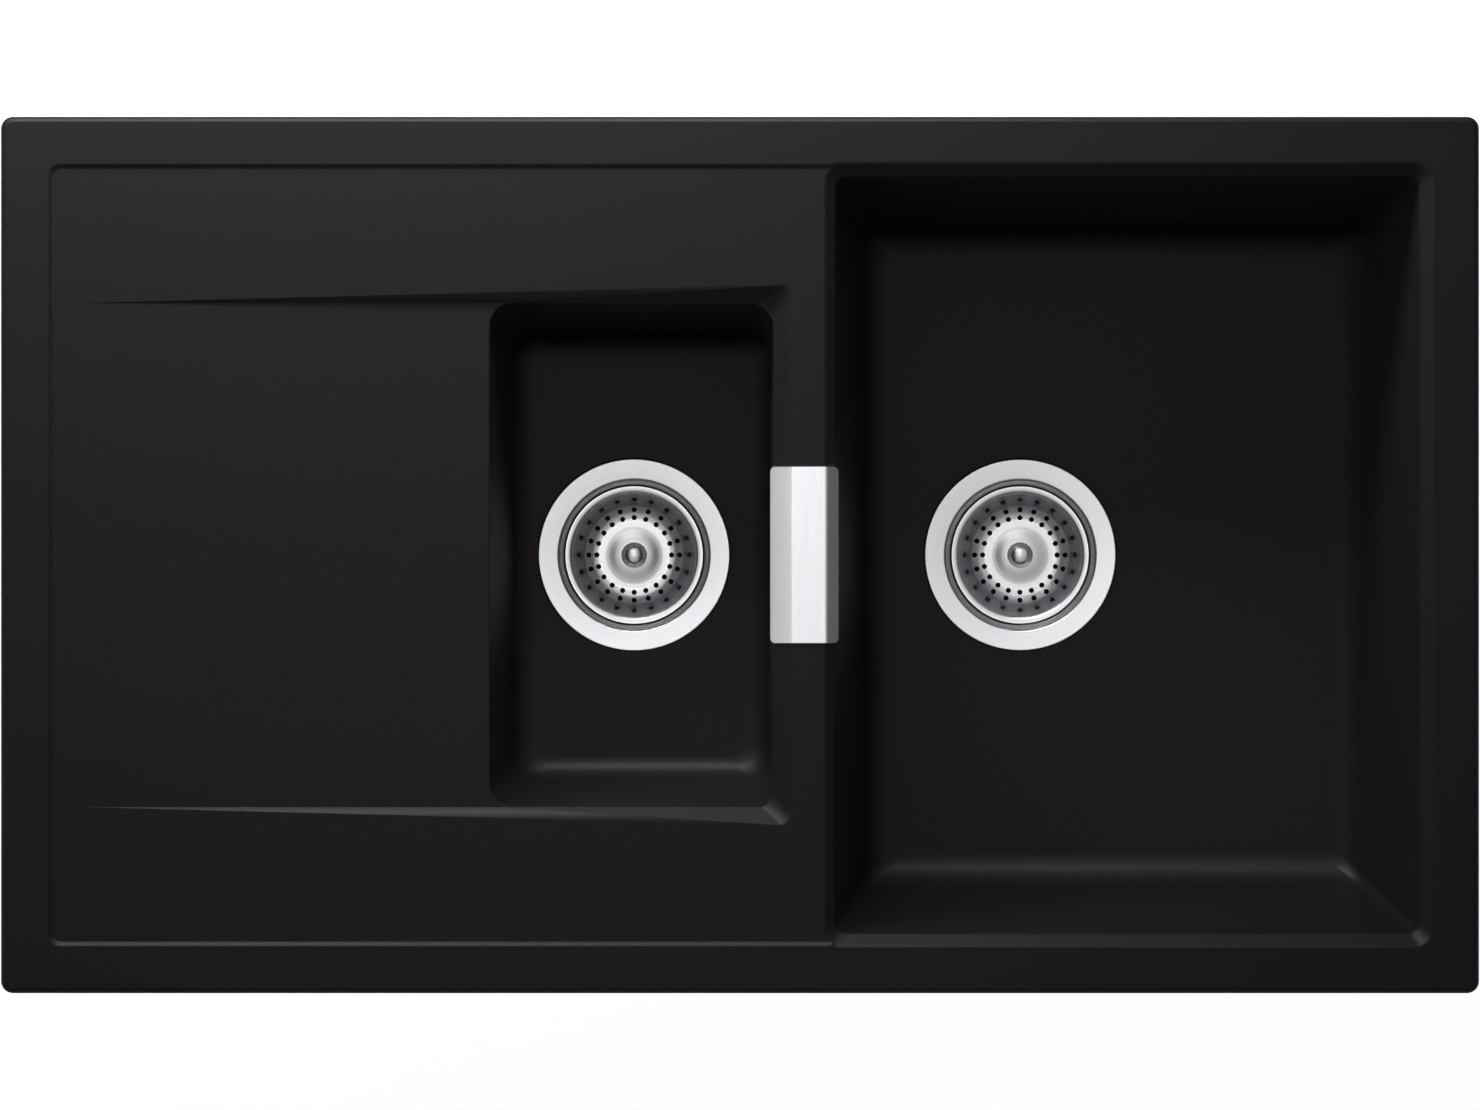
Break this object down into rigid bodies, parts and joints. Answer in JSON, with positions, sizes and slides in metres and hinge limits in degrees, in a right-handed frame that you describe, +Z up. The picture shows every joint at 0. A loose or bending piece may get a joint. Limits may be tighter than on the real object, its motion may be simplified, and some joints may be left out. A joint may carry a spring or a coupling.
{
  "type": "kitchen sink",
  "caption": "Undermount composite kitchen sink with drainer, small and main bowl, strainer wastes with lift-out baskets, overflow cover, swivel straps and waste pipes.",
  "frame": {"origin": "middle of the rim's top face, which is the face that the worktop rests on", "axes": "+X along the sink from the drainer to the main bowl, +Y to the rear, +Z up"},
  "size_m": [0.86, 0.51, 0.353],
  "materials": {
    "granite": "moulded composite, fine matte grain, near black",
    "steel": "satin stainless steel",
    "chrome": "polished",
    "white_plastic": "moulded polypropylene",
    "black_rubber": "matte",
    "brass": "turned",
    "zinc_steel": "zinc plated steel"
  },
  "bodies": {
    "sink": {"rim_and_drainer": "granite", "main_bowl": "granite", "small_bowl": "granite", "rim_inserts": "brass", "overflow_inserts": "brass", "overflow_gasket": "black_rubber", "overflow_housing": "white_plastic", "overflow_screws": "steel", "overflow_hose": "black_rubber", "hose_clips": "zinc_steel", "strap_washers": "zinc_steel", "strap_screws": "steel", "small_elbow": "white_plastic", "cross_pipe": "white_plastic", "outlet_tee": "white_plastic", "union_nuts": "white_plastic", "union_washers": "black_rubber", "main_flange_seal": "black_rubber", "main_strainer_pot": "steel", "main_centre_bolt": "steel", "main_bolt_insert": "brass", "main_body_gasket": "black_rubber", "main_waste_body": "white_plastic", "small_flange_seal": "black_rubber", "small_strainer_pot": "steel", "small_centre_bolt": "steel", "small_bolt_insert": "brass", "small_body_gasket": "black_rubber", "small_waste_body": "white_plastic"},
    "overflow_lid": {"overflow_cover": "steel"},
    "main_lift_out_basket": {"main_basket": "steel", "main_basket_stem": "steel", "main_basket_knob": "chrome", "main_basket_seal": "black_rubber"},
    "small_lift_out_basket": {"small_basket": "steel", "small_basket_stem": "steel", "small_basket_knob": "chrome", "small_basket_seal": "black_rubber"},
    "strap_front_left_arm": {"strap_front_left": "zinc_steel"},
    "strap_front_middle_arm": {"strap_front_middle": "zinc_steel"},
    "strap_front_right_arm": {"strap_front_right": "zinc_steel"},
    "strap_rear_left_arm": {"strap_rear_left": "zinc_steel"},
    "strap_rear_middle_arm": {"strap_rear_middle": "zinc_steel"},
    "strap_rear_right_arm": {"strap_rear_right": "zinc_steel"},
    "strap_left_arm": {"strap_left": "zinc_steel"},
    "strap_right_arm": {"strap_right": "zinc_steel"}
  },
  "joints": [
    {"name": "overflow_cover_lift", "type": "slide", "parent": "sink", "child": "overflow_lid", "axis": [0, 0, 1], "range_m": [0, 0.05]},
    {"name": "main_basket_lift", "type": "slide", "parent": "sink", "child": "main_lift_out_basket", "axis": [0, 0, 1], "range_m": [0, 0.06]},
    {"name": "small_basket_lift", "type": "slide", "parent": "sink", "child": "small_lift_out_basket", "axis": [0, 0, 1], "range_m": [0, 0.06]},
    {"name": "strap_front_left_turn", "type": "hinge", "parent": "sink", "child": "strap_front_left_arm", "pos_m": [-0.3, -0.241, -0.0133], "axis": [0, 0, -1], "range_deg": [0, 180]},
    {"name": "strap_front_middle_turn", "type": "hinge", "parent": "sink", "child": "strap_front_middle_arm", "pos_m": [0, -0.241, -0.0133], "axis": [0, 0, -1], "range_deg": [0, 180]},
    {"name": "strap_front_right_turn", "type": "hinge", "parent": "sink", "child": "strap_front_right_arm", "pos_m": [0.3, -0.241, -0.0133], "axis": [0, 0, -1], "range_deg": [0, 180]},
    {"name": "strap_rear_left_turn", "type": "hinge", "parent": "sink", "child": "strap_rear_left_arm", "pos_m": [-0.3, 0.241, -0.0133], "axis": [0, 0, 1], "range_deg": [0, 180]},
    {"name": "strap_rear_middle_turn", "type": "hinge", "parent": "sink", "child": "strap_rear_middle_arm", "pos_m": [0, 0.241, -0.0133], "axis": [0, 0, 1], "range_deg": [0, 180]},
    {"name": "strap_rear_right_turn", "type": "hinge", "parent": "sink", "child": "strap_rear_right_arm", "pos_m": [0.3, 0.241, -0.0133], "axis": [0, 0, 1], "range_deg": [0, 180]},
    {"name": "strap_left_turn", "type": "hinge", "parent": "sink", "child": "strap_left_arm", "pos_m": [-0.416, 0, -0.0133], "axis": [0, 0, 1], "range_deg": [0, 180]},
    {"name": "strap_right_turn", "type": "hinge", "parent": "sink", "child": "strap_right_arm", "pos_m": [0.416, 0, -0.0133], "axis": [0, 0, -1], "range_deg": [0, 180]}
  ]
}
